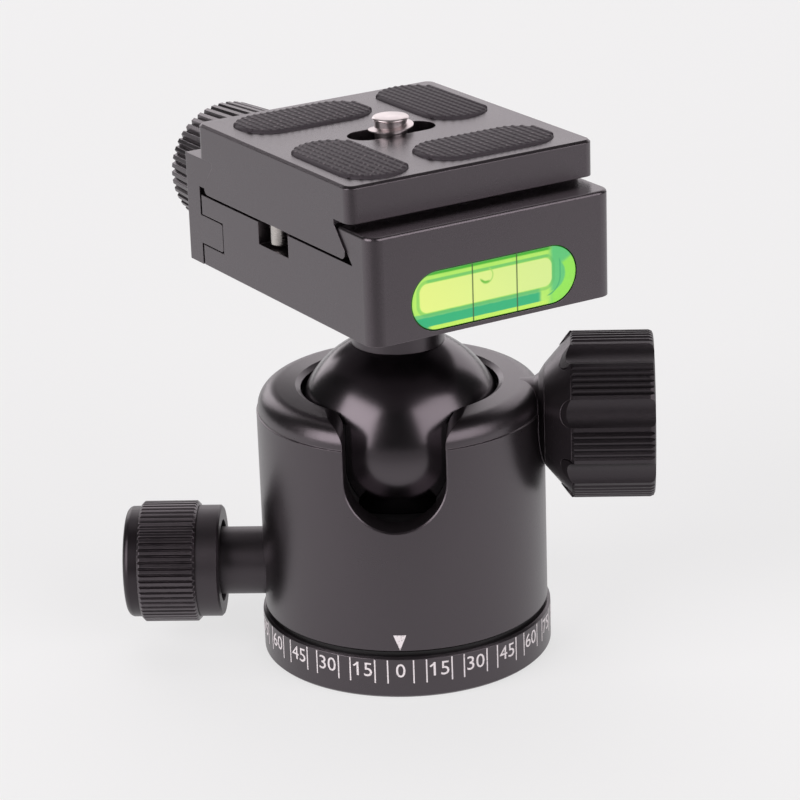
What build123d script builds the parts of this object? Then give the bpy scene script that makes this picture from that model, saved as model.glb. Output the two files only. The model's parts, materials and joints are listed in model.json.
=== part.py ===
"""Tripod ball head with a panning base, a dovetail clamp and a quick-release plate.

Millimetres, +Z up. The origin is the centre of the base's underside, on the tripod thread.
The neck slot and the index mark face -Y, the ball lock knob +X and the pan lock knob -X.
The clamp stands turned about Z; its own directions are "along" the dovetail, "across" it
(towards the clamp knob) and up.
"""
from build123d import *
from math import cos, radians, sin, sqrt, tan
import os

os.makedirs("parts", exist_ok=True)

# ---- base and pan bearing -------------------------------------------------------------
base_radius = 20.75
base_height = 6.08
base_edge = 0.3
spindle_radius = 15.95
spindle_top = 14.4
pan_axis_height = 12.3
groove_depth = 1.3
groove_half_height = 1.5
insert_radius = 6.6
insert_length = 10.0
tripod_thread_radius = 4.76
glide_inner = 16.4
glide_outer = 19.8
bearing_gap = 0.02

# ---- housing ----------------------------------------------------------------------------
housing_bottom = 6.68
housing_radius = 20.35
housing_bore = 16.0
shoulder_height = 36.06
shoulder_step = 0.2
shoulder_round = 2.9
crest_height = 39.56
crest_radius = 14.7
crest_fall = 0.1
rim_radius = 14.0
rim_chamfer = 0.5
lip_bottom = 37.6
lip_radius = 14.15
lip_edge_height = 0.8
slot_half_width = 7.05
slot_round_height = 31.6
slot_corner_round = 2.6
slot_flare = 3.0
slot_edge = 0.2
slot_back = 5.0
slot_reach = 20.0

# ---- ball and its seats -----------------------------------------------------------------
ball_radius = 15.0
ball_height = 32.02
seat_radius = 15.06
liner_radius = 15.97
liner_top = 37.5
liner_bottom = 27.0
liner_hole = 4.1
cup_radius = 15.9
cup_top = 24.4
cup_bottom = 17.4
cup_opening = 7.0
floor_bottom = 14.9
floor_top = 16.4
disc_spring_outer = 15.4
disc_spring_inner = 8.5
disc_spring_thickness = 0.4
spanner_circle = 10.0
spanner_hole = 1.2
neck_radius = 6.55
neck_bottom = 44.0
neck_top = 54.75
stem_radius = 4.2
stem_top = 54.6
stem_bore = 3.0
stem_bore_bottom = 40.0
run_gap = 0.05

# ---- ball lock (along +X) ----------------------------------------------------------------
lock_height = 34.1
lock_boss_root = 17.0
lock_boss_waist = 18.9
lock_boss_radius = 5.4
lock_boss_neck = 19.6
lock_boss_neck_radius = 5.9
lock_boss_end = 20.4
lock_boss_flare = 7.15
lock_bore = 4.0
lock_bore_start = 10.0
lock_stud_radius = 3.95
pad_radius = 3.92
pad_front = 13.0
pad_back = 16.4
knob_start = 20.42
knob_neck_radius = 7.2
cone_end = 24.1
cone_end_radius = 11.4
knob_radius = 11.9
knob_core_radius = 10.2
knob_core_end = 34.9
knob_end = 35.75
knob_edge_round = 0.7
knob_cap_recess = 0.25
grip_chamfer = 0.35
flute_count = 8
flute_radius = 2.96
flute_depth = 0.9
flute_start = 160.0
rib_pitch = 4.4
rib_groove = 0.34
grooves_per_field = 5
tongue_length = 1.5
tongue_half_width = 1.94
tongue_floor = 9.4
tongue_end_radius = 9.85

# ---- pan lock (along -X) -------------------------------------------------------------------
pan_bush_radius = 4.85
pan_bush_seat = 19.7
pan_bush_end = 27.0
pan_bush_shank = 3.45
pan_bush_inner = 16.6
pan_bore_inner = 13.7
pan_stud_radius = 2.45
pan_bush_bore = 2.5
shoe_radius = 2.42
shoe_front = 16.12
shoe_back = 18.0
shoe_shoulder = 16.0
shoe_shoulder_radius = 1.45
shoe_tip = 15.2
shoe_tip_radius = 0.5
pan_collar_start = 26.3
pan_grip_start = 29.6
pan_grip_end = 37.9
pan_cap_shoulder = 39.2
pan_cap_face = 39.8
pan_cap_face_radius = 7.65
pan_cap_end = 40.6
pan_cap_radius = 8.0
pan_cap_dome = 40.0
pan_cap_dome_angle = 9.9
pan_collar_radius = 8.03
pan_grip_radius = 8.7
pan_core_radius = 7.2
pan_recess_radius = 5.9
pan_recess_floor = 28.0
pan_ridges = 60
pan_ridge_depth = 0.35
pan_grip_chamfer = 0.4
ridge_flat = 0.22

# ---- clamp ------------------------------------------------------------------------------------
clamp_turn = 34.15
clamp_along = 0.5
clamp_half_length = 19.05
clamp_bottom = 54.8
channel_floor = 65.0
fixed_jaw_top = 69.7
level_face = -24.7
body_knob_face = 21.6
corner_round = 2.0
lip_round = 0.5
jaw_round = 0.5
jaw_inner = 22.1
jaw_outer = 26.2
jaw_bottom = 54.7
jaw_top = 70.4
nose_height = 66.2
tongue_tip = 15.8
tongue_bottom = 57.9
tongue_top = 62.0
tongue_play = 0.2
stop_slot_low = -3.05
stop_slot_high = 5.2
stop_slot_floor = 61.8
stop_slot_depth = 6.0
clamp_screw_height = 60.7
clamp_screw_radius = 2.95
clamp_screw_tip = 6.6
clamp_screw_along = -0.3
jaw_screw_hole = 3.2
fixing_head_radius = 5.0
fixing_pocket_radius = 5.2
fixing_head_bottom = 61.6
fixing_head_top = 64.6
fixing_screw_radius = 2.95
fixing_screw_bottom = 42.0
fixing_socket = 2.5
fixing_socket_depth = 1.8
spring_position = 12.0
spring_height = 60.0
spring_pocket = 1.9
spring_pocket_end = 9.0
spring_radius = 1.75
spring_inner = 1.15

# ---- clamp knob ----------------------------------------------------------------------------------
clamp_washer_radius = 7.0
clamp_washer_thickness = 0.5
clamp_knob_start = 26.75
clamp_collar_radius = 6.4
clamp_knob_shoulder = 31.3
clamp_barrel_start = 35.3
clamp_barrel_radius = 10.2
clamp_barrel_root = 9.5
clamp_flare_end = 36.3
clamp_screw_end = 46.5
clamp_knob_end = 48.0
clamp_knob_end_radius = 9.45
clamp_ridges = 46
clamp_ridge_depth = 0.5
clamp_dish_radius = 6.5
clamp_dish_depth = 0.6

# ---- spirit level ----------------------------------------------------------------------------------
level_length = 26.2
level_width = 8.3
level_centre = 0.5
level_height = 59.55
level_depth = 8.5
spirit_radius = 2.7
spirit_length = 20.8
spirit_centre = -0.5
spirit_height = 60.1
spirit_across = -20.6
level_plug_length = 1.6
bubble_radius = 1.2
bubble_along = -0.9
bubble_height = 61.6

# ---- quick-release plate ---------------------------------------------------------------------------
plate_along = 0.54
plate_across = 0.75
plate_length = 38.68
plate_width = 41.7
plate_bottom = 65.5
plate_top = 75.58
flange_bottom = 70.53
dovetail_neck = 16.8
dovetail_shoulder = 69.83
dovetail_slope = tan(radians(40))
dovetail_gap = 0.05
plate_corner = 1.4
plate_bevel = 0.35
dovetail_foot_round = 0.9
pad_length = 20.7
pad_width = 10.2
pad_recess = 0.8
pad_proud = 0.54
pad_bevel = 0.2
long_pad_offsets = [(-6.26, 13.5), (6.26, -13.5)]
cross_pad_offsets = [(-12.3, -9.4), (12.3, 9.4)]
screw_slot_length = 13.4
screw_slot_width = 5.2
head_pocket_length = 20.4
head_pocket_width = 11.0
head_pocket_roof = 71.03
stop_pin_radius = 1.35
stop_pin_bottom = 62.08
stop_pin_top = 68.43
stop_pin_inset = 2.13
stop_pin_across = 2.37
stop_pin_chamfer = 0.25

# ---- camera screw --------------------------------------------------------------------------------------
screw_along = 0.45
screw_head_radius = 5.0
screw_head_bottom = 65.83
screw_head_top = 68.03
screw_washer_top = 68.53
screw_shank_radius = 2.3
screw_thread_bottom = 75.73
screw_thread_radius = 3.15
screw_washer_radius = 5.2
screw_point = 0.5
coin_slot_width = 1.4
coin_slot_depth = 1.0
screw_top = 77.73

# The clamp's own frame: X along the dovetail, Y across it towards the clamp knob.
clamp_frame = Plane(
    origin=(0, 0, 0),
    x_dir=(cos(radians(clamp_turn)), sin(radians(clamp_turn)), 0),
    z_dir=(0, 0, 1),
)


def clamp_level(height):
    """Horizontal plane of the clamp frame."""
    return clamp_frame.offset(height)


def clamp_section(along):
    """Cross-section of the dovetail: local X runs across, local Y up, normal along."""
    origin = clamp_frame.from_local_coords((along, 0, 0))
    return Plane(origin, x_dir=clamp_frame.y_dir, z_dir=clamp_frame.x_dir)


def clamp_side(across):
    """Plane facing the clamp knob: local X runs against "along", local Y up, normal across."""
    origin = clamp_frame.from_local_coords((0, across, 0))
    return Plane(origin, x_dir=-clamp_frame.x_dir, z_dir=clamp_frame.y_dir)


def ball_level(radius, height):
    """Distance from the ball's axis to a sphere about the ball's centre, at a height."""
    return sqrt(radius**2 - (height - ball_height) ** 2)


def save(part, name):
    part.label = name
    export_step(part, f"parts/{name}.step")


def dovetail_half_width(height):
    """Half-width of the plate's dovetail at a height."""
    return dovetail_neck + (dovetail_shoulder - height) * dovetail_slope


def ridge_points(radius, count, depth):
    """Outline of a straight knurl: flat-topped ridges with V grooves between them."""
    step = 360 / count
    corners = [(-ridge_flat, radius), (ridge_flat, radius), (1 / 2, radius - depth)]
    points = []
    for ridge in range(count):
        for turn, reach in corners:
            angle = radians((ridge + turn) * step)
            points.append((reach * cos(angle), reach * sin(angle)))
    return points


stop_pin_reach = plate_length / 2 - stop_pin_inset
stop_pin_places = [
    (plate_along - stop_pin_reach, stop_pin_across),
    (plate_along + stop_pin_reach, stop_pin_across),
]
pad_places = [
    Location((plate_along + along, plate_across + across, 0), 0) for along, across in long_pad_offsets
]
pad_places += [
    Location((plate_along + along, plate_across + across, 0), 90) for along, across in cross_pad_offsets
]
clamp_near_end = clamp_along - clamp_half_length
flare_height = crest_height - slot_flare
flare_middle = slot_half_width + slot_flare
lock_axis = Axis((0, 0, lock_height), (1, 0, 0))
knob_plane = Plane((knob_start, 0, lock_height), x_dir=(0, 1, 0), z_dir=(1, 0, 0))
flute_circle = knob_radius + flute_radius - flute_depth
flute_turns = [radians(flute_start + 360 / flute_count * flute) for flute in range(flute_count)]
# planes of the grip's tongues, facing away from the lock's axis
tongue_planes = [
    Plane(
        (cone_end, tongue_floor * cos(turn), lock_height + tongue_floor * sin(turn)),
        x_dir=(1, 0, 0),
        z_dir=(0, cos(turn), sin(turn)),
    )
    for turn in flute_turns
]
pan_lock_axis = Axis((0, 0, pan_axis_height), (1, 0, 0))
clamp_across_axis = Axis((0, 0, 0), clamp_frame.y_dir)
clamp_screw_origin = clamp_frame.from_local_coords((clamp_screw_along, 0, clamp_screw_height))
clamp_screw_axis = Axis(clamp_screw_origin, clamp_frame.y_dir)
# half-plane through the clamp screw's axis: local X runs across, local Y away from the axis
clamp_screw_profile = Plane(clamp_screw_origin, x_dir=clamp_frame.y_dir, z_dir=clamp_frame.x_dir)
clamp_screw_face = Plane(clamp_screw_origin, x_dir=-clamp_frame.x_dir, z_dir=clamp_frame.y_dir)

# ======== base ==========================================================================

# Flange that bolts to the tripod and the spindle that the housing pans on.
with BuildPart() as base_ring:
    with BuildSketch(Plane.XZ):
        with BuildLine():
            Polyline(
                (insert_radius, 0),
                (base_radius - base_edge, 0),
                (base_radius, base_edge),
                (base_radius, base_height - base_edge),
                (base_radius - base_edge, base_height),
                (spindle_radius, base_height),
                (spindle_radius, pan_axis_height - groove_half_height),
                (spindle_radius - groove_depth, pan_axis_height),
                (spindle_radius, pan_axis_height + groove_half_height),
                (spindle_radius, spindle_top),
                (0, spindle_top),
                (0, insert_length),
                (insert_radius, insert_length),
                close=True,
            )
        make_face()
    revolve(axis=Axis.Z)
save(base_ring.part, "base_ring")

# Steel insert with the tripod thread, pressed in from below.
with BuildPart() as tripod_thread_insert:
    Cylinder(insert_radius, insert_length, align=(Align.CENTER, Align.CENTER, Align.MIN))
    with Locations((0, 0, insert_length)):
        Hole(tripod_thread_radius)
save(tripod_thread_insert.part, "tripod_thread_insert")

# Slippery washer that the housing pans on; it sets the thin dark gap above the base.
with BuildPart() as pan_glide_washer:
    with BuildSketch(Plane.XY.offset(base_height)):
        Circle(glide_outer)
        Circle(glide_inner, mode=Mode.SUBTRACT)
    extrude(amount=housing_bottom - base_height - bearing_gap)
save(pan_glide_washer.part, "pan_glide_washer")

# ======== housing =======================================================================

# Turned shell: straight wall, rounded shoulder, in-turned lip that keeps the ball, front slot.
with BuildPart() as housing:
    shoulder_radius = housing_radius - shoulder_step
    with BuildSketch(Plane.XZ):
        with BuildLine():
            Polyline(
                (housing_bore, ball_height),
                (housing_bore, housing_bottom),
                (housing_radius - base_edge, housing_bottom),
                (housing_radius, housing_bottom + base_edge),
                (housing_radius, shoulder_height),
                (shoulder_radius, shoulder_height + shoulder_step / 2),
                (shoulder_radius, crest_height - shoulder_round),
            )
            RadiusArc(
                (shoulder_radius, crest_height - shoulder_round),
                (shoulder_radius - shoulder_round, crest_height - crest_fall),
                -shoulder_round,
            )
            Polyline(
                (shoulder_radius - shoulder_round, crest_height - crest_fall),
                (crest_radius, crest_height),
                (rim_radius, crest_height - rim_chamfer),
                (rim_radius, lip_bottom + lip_edge_height),
                (lip_radius, lip_bottom),
                (ball_level(housing_bore, lip_bottom), lip_bottom),
            )
            RadiusArc(
                (ball_level(housing_bore, lip_bottom), lip_bottom),
                (housing_bore, ball_height),
                housing_bore,
            )
        make_face()
    revolve(axis=Axis.Z)
    # boss that carries the lock stud, flared to meet the knob's cone
    with BuildSketch(Plane.XZ):
        with BuildLine():
            Polyline(
                (lock_boss_root, lock_height),
                (lock_boss_root, lock_height + lock_boss_radius),
                (lock_boss_waist, lock_height + lock_boss_radius),
                (lock_boss_neck, lock_height + lock_boss_neck_radius),
                (lock_boss_end, lock_height + lock_boss_flare),
                (lock_boss_end, lock_height),
                close=True,
            )
        make_face()
    revolve(axis=lock_axis)
    with BuildSketch(Plane.YZ.offset(lock_bore_start)):
        with Locations((0, lock_height)):
            Circle(lock_bore)
    extrude(amount=knob_start - lock_bore_start, mode=Mode.SUBTRACT)
    # pan lock: spot face for the bush and a bore through the wall
    with BuildSketch(Plane.YZ.offset(-pan_bush_seat)):
        with Locations((0, pan_axis_height)):
            Circle(pan_bush_radius + run_gap)
    extrude(amount=pan_bush_seat - pan_bush_end, mode=Mode.SUBTRACT)
    with BuildSketch(Plane.YZ.offset(-pan_bush_seat)):
        with Locations((0, pan_axis_height)):
            Circle(pan_bush_shank)
    extrude(amount=pan_bush_seat - pan_bore_inner, mode=Mode.SUBTRACT)
    # neck slot, seen from the front: round foot and upright sides that flare out over the shoulder
    with BuildSketch(Plane.XZ.offset(slot_back)):
        with Locations((0, slot_round_height)):
            Circle(slot_half_width)
            Rectangle(2 * slot_half_width, slot_reach, align=(Align.CENTER, Align.MIN))
        with Locations((0, flare_height)):
            Rectangle(2 * flare_middle, slot_flare + rim_chamfer, align=(Align.CENTER, Align.MIN))
        with Locations((-flare_middle, flare_height), (flare_middle, flare_height)):
            Circle(slot_flare, mode=Mode.SUBTRACT)
    extrude(amount=slot_reach, mode=Mode.SUBTRACT)
    # rounded corners between the slot and the round rim, seen from above
    with BuildSketch(Plane.XY.offset(lip_bottom)) as rim_opening:
        Circle(rim_radius)
        Rectangle(2 * slot_half_width, slot_back + slot_reach, align=(Align.CENTER, Align.MAX))
        rim_corners = rim_opening.vertices().filter_by(lambda corner: -rim_radius < corner.Y < -slot_back)
        fillet(rim_corners, slot_corner_round)
    extrude(amount=slot_back, mode=Mode.SUBTRACT)
    # small chamfer round the slot's mouth in the outer wall
    mouth = housing.edges().filter_by(
        lambda edge: abs(edge.center().X) < flare_middle
        and edge.center().Y < -rim_radius - shoulder_round
        and slot_round_height - slot_half_width - slot_edge < edge.center().Z < shoulder_height
    )
    chamfer(mouth, slot_edge)
save(housing.part, "housing")

# Liner that the ball bears against under the lip, open at the slot and at the brake pad.
with BuildPart() as upper_ball_liner:
    with BuildSketch(Plane.XZ):
        with BuildLine():
            Polyline(
                (ball_level(liner_radius, liner_top), liner_top),
                (ball_level(seat_radius, liner_top), liner_top),
            )
            ThreePointArc(
                (ball_level(seat_radius, liner_top), liner_top),
                (seat_radius, ball_height),
                (ball_level(seat_radius, liner_bottom), liner_bottom),
            )
            Polyline(
                (ball_level(seat_radius, liner_bottom), liner_bottom),
                (liner_radius, liner_bottom),
                (liner_radius, ball_height),
            )
            RadiusArc(
                (liner_radius, ball_height),
                (ball_level(liner_radius, liner_top), liner_top),
                -liner_radius,
            )
        make_face()
    revolve(axis=Axis.Z)
    with BuildSketch(Plane.XZ.offset(slot_back)):
        with Locations((0, slot_round_height)):
            Circle(slot_half_width)
            Rectangle(2 * slot_half_width, slot_reach, align=(Align.CENTER, Align.MIN))
    extrude(amount=slot_reach, mode=Mode.SUBTRACT)
    with BuildSketch(Plane.YZ.offset(lock_bore_start)):
        with Locations((0, lock_height)):
            Circle(liner_hole)
    extrude(amount=knob_start - lock_bore_start, mode=Mode.SUBTRACT)
save(upper_ball_liner.part, "upper_ball_liner")

# Cup that carries the ball from below.
with BuildPart() as lower_ball_cup:
    cup_inner_edge = ball_height - sqrt(seat_radius**2 - cup_opening**2)
    with BuildSketch(Plane.XZ):
        with BuildLine():
            Polyline(
                (cup_opening, cup_inner_edge),
                (cup_opening, cup_bottom),
                (cup_radius, cup_bottom),
                (cup_radius, cup_top),
                (ball_level(seat_radius, cup_top), cup_top),
            )
            RadiusArc(
                (ball_level(seat_radius, cup_top), cup_top),
                (cup_opening, cup_inner_edge),
                seat_radius,
            )
        make_face()
    revolve(axis=Axis.Z)
save(lower_ball_cup.part, "lower_ball_cup")

# Conical spring washer that keeps the cup pressed against the ball.
with BuildPart() as cup_disc_spring:
    with BuildSketch(Plane.XZ):
        with BuildLine():
            Polyline(
                (disc_spring_outer, floor_top),
                (disc_spring_outer, floor_top + disc_spring_thickness),
                (disc_spring_inner, cup_bottom),
                (disc_spring_inner, cup_bottom - disc_spring_thickness),
                close=True,
            )
        make_face()
    revolve(axis=Axis.Z)
save(cup_disc_spring.part, "cup_disc_spring")

# Threaded disc that closes the ball chamber from below, with two holes for a pin spanner.
with BuildPart() as ball_chamber_floor:
    with BuildSketch(Plane.XY.offset(floor_bottom)):
        Circle(liner_radius)
        with PolarLocations(spanner_circle, 2):
            Circle(spanner_hole, mode=Mode.SUBTRACT)
    extrude(amount=floor_top - floor_bottom)
save(ball_chamber_floor.part, "ball_chamber_floor")

# ======== ball lock =====================================================================

# Pad that is pushed against the ball; its face has the ball's curve.
with BuildPart() as ball_brake_pad:
    with BuildSketch(Plane.YZ.offset(pad_front)):
        with Locations((0, lock_height)):
            Circle(pad_radius)
    extrude(amount=pad_back - pad_front)
    with Locations((0, 0, ball_height)):
        Sphere(seat_radius, mode=Mode.SUBTRACT)
save(ball_brake_pad.part, "ball_brake_pad")

# Threaded stud that the knob drives in and out of the housing's boss.
with BuildPart() as main_lock_stud:
    with BuildSketch(Plane.YZ.offset(pad_back)):
        with Locations((0, lock_height)):
            Circle(lock_stud_radius)
    extrude(amount=knob_core_end - pad_back)
save(main_lock_stud.part, "main_lock_stud")

# Rubber tongues that run from the grip's scallops down over the cone.
with BuildPart() as grip_tongues:
    with BuildSketch(*tongue_planes):
        Ellipse(tongue_length, tongue_half_width)
    extrude(amount=knob_radius - tongue_floor)
    with BuildSketch(Plane.XZ):
        with BuildLine():
            Polyline(
                (knob_start, lock_height + knob_neck_radius),
                (cone_end - tongue_length, lock_height + tongue_end_radius),
                (cone_end, lock_height + knob_radius),
                (cone_end + grip_chamfer, lock_height + knob_radius),
                (cone_end + grip_chamfer, lock_height + knob_neck_radius),
                close=True,
            )
        make_face()
    revolve(axis=lock_axis, mode=Mode.INTERSECT)
    with BuildSketch(knob_plane):
        with PolarLocations(flute_circle, flute_count, flute_start):
            Circle(flute_radius)
    extrude(amount=knob_end - knob_start, mode=Mode.SUBTRACT)

# Metal core: cone towards the housing with pockets for the tongues, cylinder under the grip.
with BuildPart() as main_knob_core:
    with BuildSketch(Plane.XZ):
        with BuildLine():
            Polyline(
                (knob_start, lock_height + knob_neck_radius),
                (cone_end, lock_height + cone_end_radius),
                (cone_end, lock_height + knob_core_radius),
                (knob_core_end, lock_height + knob_core_radius),
                (knob_core_end, lock_height + lock_stud_radius),
                (knob_start, lock_height + lock_stud_radius),
                close=True,
            )
        make_face()
    revolve(axis=lock_axis)
    with BuildSketch(knob_plane):
        with PolarLocations(flute_circle, flute_count, flute_start):
            Circle(flute_radius)
    extrude(amount=cone_end - knob_start, mode=Mode.SUBTRACT)
    add(grip_tongues.part, mode=Mode.SUBTRACT)
save(main_knob_core.part, "main_knob_core")

# Rubber grip: eight scallops with fields of fine ribs between them.
with BuildPart() as main_knob_grip:
    edge_bulge = 0.3 * knob_edge_round
    with BuildSketch(knob_plane.offset(cone_end - knob_start)):
        Circle(knob_radius)
        with PolarLocations(flute_circle, flute_count, flute_start):
            Circle(flute_radius, mode=Mode.SUBTRACT)
        for groove in range(grooves_per_field):
            turn = flute_start + 180 / flute_count + (groove - (grooves_per_field - 1) / 2) * rib_pitch
            with PolarLocations(knob_radius, flute_count, turn):
                RegularPolygon(rib_groove, 4, mode=Mode.SUBTRACT)
    extrude(amount=knob_end - cone_end)
    with BuildSketch(Plane.XZ):
        with BuildLine():
            Polyline(
                (knob_end - knob_edge_round, lock_height + knob_radius),
                (cone_end + grip_chamfer, lock_height + knob_radius),
                (cone_end, lock_height + knob_radius - grip_chamfer),
                (cone_end, lock_height + knob_core_radius),
                (knob_end, lock_height + knob_core_radius),
                (knob_end, lock_height + knob_radius - knob_edge_round),
                (knob_end - edge_bulge, lock_height + knob_radius - edge_bulge),
                close=True,
            )
        make_face()
    revolve(axis=lock_axis, mode=Mode.INTERSECT)
    add(grip_tongues.part)
save(main_knob_grip.part, "main_knob_grip")

# Cap over the stud's end.
with BuildPart() as main_knob_cap:
    with BuildSketch(Plane.YZ.offset(knob_core_end)):
        with Locations((0, lock_height)):
            Circle(knob_core_radius - run_gap)
    extrude(amount=knob_end - knob_core_end - knob_cap_recess)
save(main_knob_cap.part, "main_knob_cap")

# ======== pan lock ======================================================================

# Bush fixed in the housing's wall: it guides the stud and the shoe.
with BuildPart() as pan_lock_bush:
    with BuildSketch(Plane.XZ):
        with BuildLine():
            Polyline(
                (-pan_bush_inner, pan_axis_height + pan_bush_bore),
                (-pan_bush_inner, pan_axis_height + pan_bush_shank),
                (-pan_bush_seat, pan_axis_height + pan_bush_shank),
                (-pan_bush_seat, pan_axis_height + pan_bush_radius),
                (base_edge - pan_bush_end, pan_axis_height + pan_bush_radius),
                (-pan_bush_end, pan_axis_height + pan_bush_radius - base_edge),
                (-pan_bush_end, pan_axis_height + pan_bush_bore),
                close=True,
            )
        make_face()
    revolve(axis=pan_lock_axis)
save(pan_lock_bush.part, "pan_lock_bush")

# Brass shoe whose cone wedges in the spindle's groove.
with BuildPart() as pan_lock_shoe:
    with BuildSketch(Plane.XZ):
        with BuildLine():
            Polyline(
                (-shoe_tip, pan_axis_height),
                (-shoe_tip, pan_axis_height + shoe_tip_radius),
                (-shoe_shoulder, pan_axis_height + shoe_shoulder_radius),
                (-shoe_front, pan_axis_height + shoe_radius),
                (-shoe_back, pan_axis_height + shoe_radius),
                (-shoe_back, pan_axis_height),
                close=True,
            )
        make_face()
    revolve(axis=pan_lock_axis)
save(pan_lock_shoe.part, "pan_lock_shoe")

with BuildPart() as pan_lock_stud:
    with BuildSketch(Plane.YZ.offset(-shoe_back)):
        with Locations((0, pan_axis_height)):
            Circle(pan_stud_radius)
    extrude(amount=shoe_back - pan_grip_end)
save(pan_lock_stud.part, "pan_lock_stud")

# Knob body: smooth collar with a recess for the bush, cylinder under the knurled grip.
with BuildPart() as pan_knob_core:
    with BuildSketch(Plane.XZ):
        with BuildLine():
            Polyline(
                (-pan_collar_start, pan_axis_height + pan_recess_radius),
                (-pan_collar_start, pan_axis_height + pan_collar_radius - base_edge),
                (-pan_collar_start - base_edge, pan_axis_height + pan_collar_radius),
                (-pan_grip_start, pan_axis_height + pan_collar_radius),
                (-pan_grip_start, pan_axis_height + pan_core_radius),
                (-pan_grip_end, pan_axis_height + pan_core_radius),
                (-pan_grip_end, pan_axis_height + pan_stud_radius),
                (-pan_recess_floor, pan_axis_height + pan_stud_radius),
                (-pan_recess_floor, pan_axis_height + pan_recess_radius),
                close=True,
            )
        make_face()
    revolve(axis=pan_lock_axis)
save(pan_knob_core.part, "pan_knob_core")

# Straight-knurled grip ring with chamfered ends.
with BuildPart() as pan_knob_grip:
    with BuildSketch(Plane((-pan_grip_start, 0, pan_axis_height), x_dir=(0, 1, 0), z_dir=(-1, 0, 0))):
        with BuildLine():
            Polyline(*ridge_points(pan_grip_radius, pan_ridges, pan_ridge_depth), close=True)
        make_face()
    extrude(amount=pan_grip_end - pan_grip_start)
    with BuildSketch(Plane.XZ):
        with BuildLine():
            Polyline(
                (-pan_grip_start, pan_axis_height + pan_core_radius),
                (-pan_grip_start, pan_axis_height + pan_grip_radius - pan_grip_chamfer),
                (-pan_grip_start - pan_grip_chamfer, pan_axis_height + pan_grip_radius),
                (-pan_grip_end + pan_grip_chamfer, pan_axis_height + pan_grip_radius),
                (-pan_grip_end, pan_axis_height + pan_grip_radius - pan_grip_chamfer),
                (-pan_grip_end, pan_axis_height + pan_core_radius),
                close=True,
            )
        make_face()
    revolve(axis=pan_lock_axis, mode=Mode.INTERSECT)
save(pan_knob_grip.part, "pan_knob_grip")

# Domed end cap.
with BuildPart() as pan_knob_cap:
    with BuildSketch(Plane.XZ):
        with BuildLine():
            dome = JernArc(
                start=(-pan_cap_end, pan_axis_height),
                tangent=(0, 1),
                radius=pan_cap_dome,
                arc_size=-pan_cap_dome_angle,
            )
            ThreePointArc(
                dome @ 1,
                (-pan_cap_face, pan_axis_height + pan_cap_face_radius),
                (-pan_cap_shoulder, pan_axis_height + pan_cap_radius),
            )
            Polyline(
                (-pan_cap_shoulder, pan_axis_height + pan_cap_radius),
                (-pan_grip_end, pan_axis_height + pan_cap_radius),
                (-pan_grip_end, pan_axis_height),
                (-pan_cap_end, pan_axis_height),
            )
        make_face()
    revolve(axis=pan_lock_axis)
save(pan_knob_cap.part, "pan_knob_cap")

# ======== ball and neck =================================================================

# Polished ball with its stem, turned in one piece and bored for the clamp's screw.
with BuildPart() as ball:
    with Locations((0, 0, ball_height)):
        Sphere(ball_radius)
    with BuildSketch(Plane.XY.offset(ball_height)):
        Circle(stem_radius)
    extrude(amount=stem_top - ball_height)
    with BuildSketch(Plane.XY.offset(stem_bore_bottom)):
        Circle(stem_bore)
    extrude(amount=stem_top - stem_bore_bottom, mode=Mode.SUBTRACT)
save(ball.part, "ball")

# Matt collar between the ball and the clamp.
with BuildPart() as neck_collar:
    with BuildSketch(Plane.XY.offset(neck_bottom)):
        Circle(neck_radius)
        Circle(stem_radius + run_gap, mode=Mode.SUBTRACT)
    extrude(amount=neck_top - neck_bottom)
    with Locations((0, 0, ball_height)):
        Sphere(ball_radius + run_gap, mode=Mode.SUBTRACT)
save(neck_collar.part, "neck_collar")

# ======== clamp =========================================================================

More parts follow.
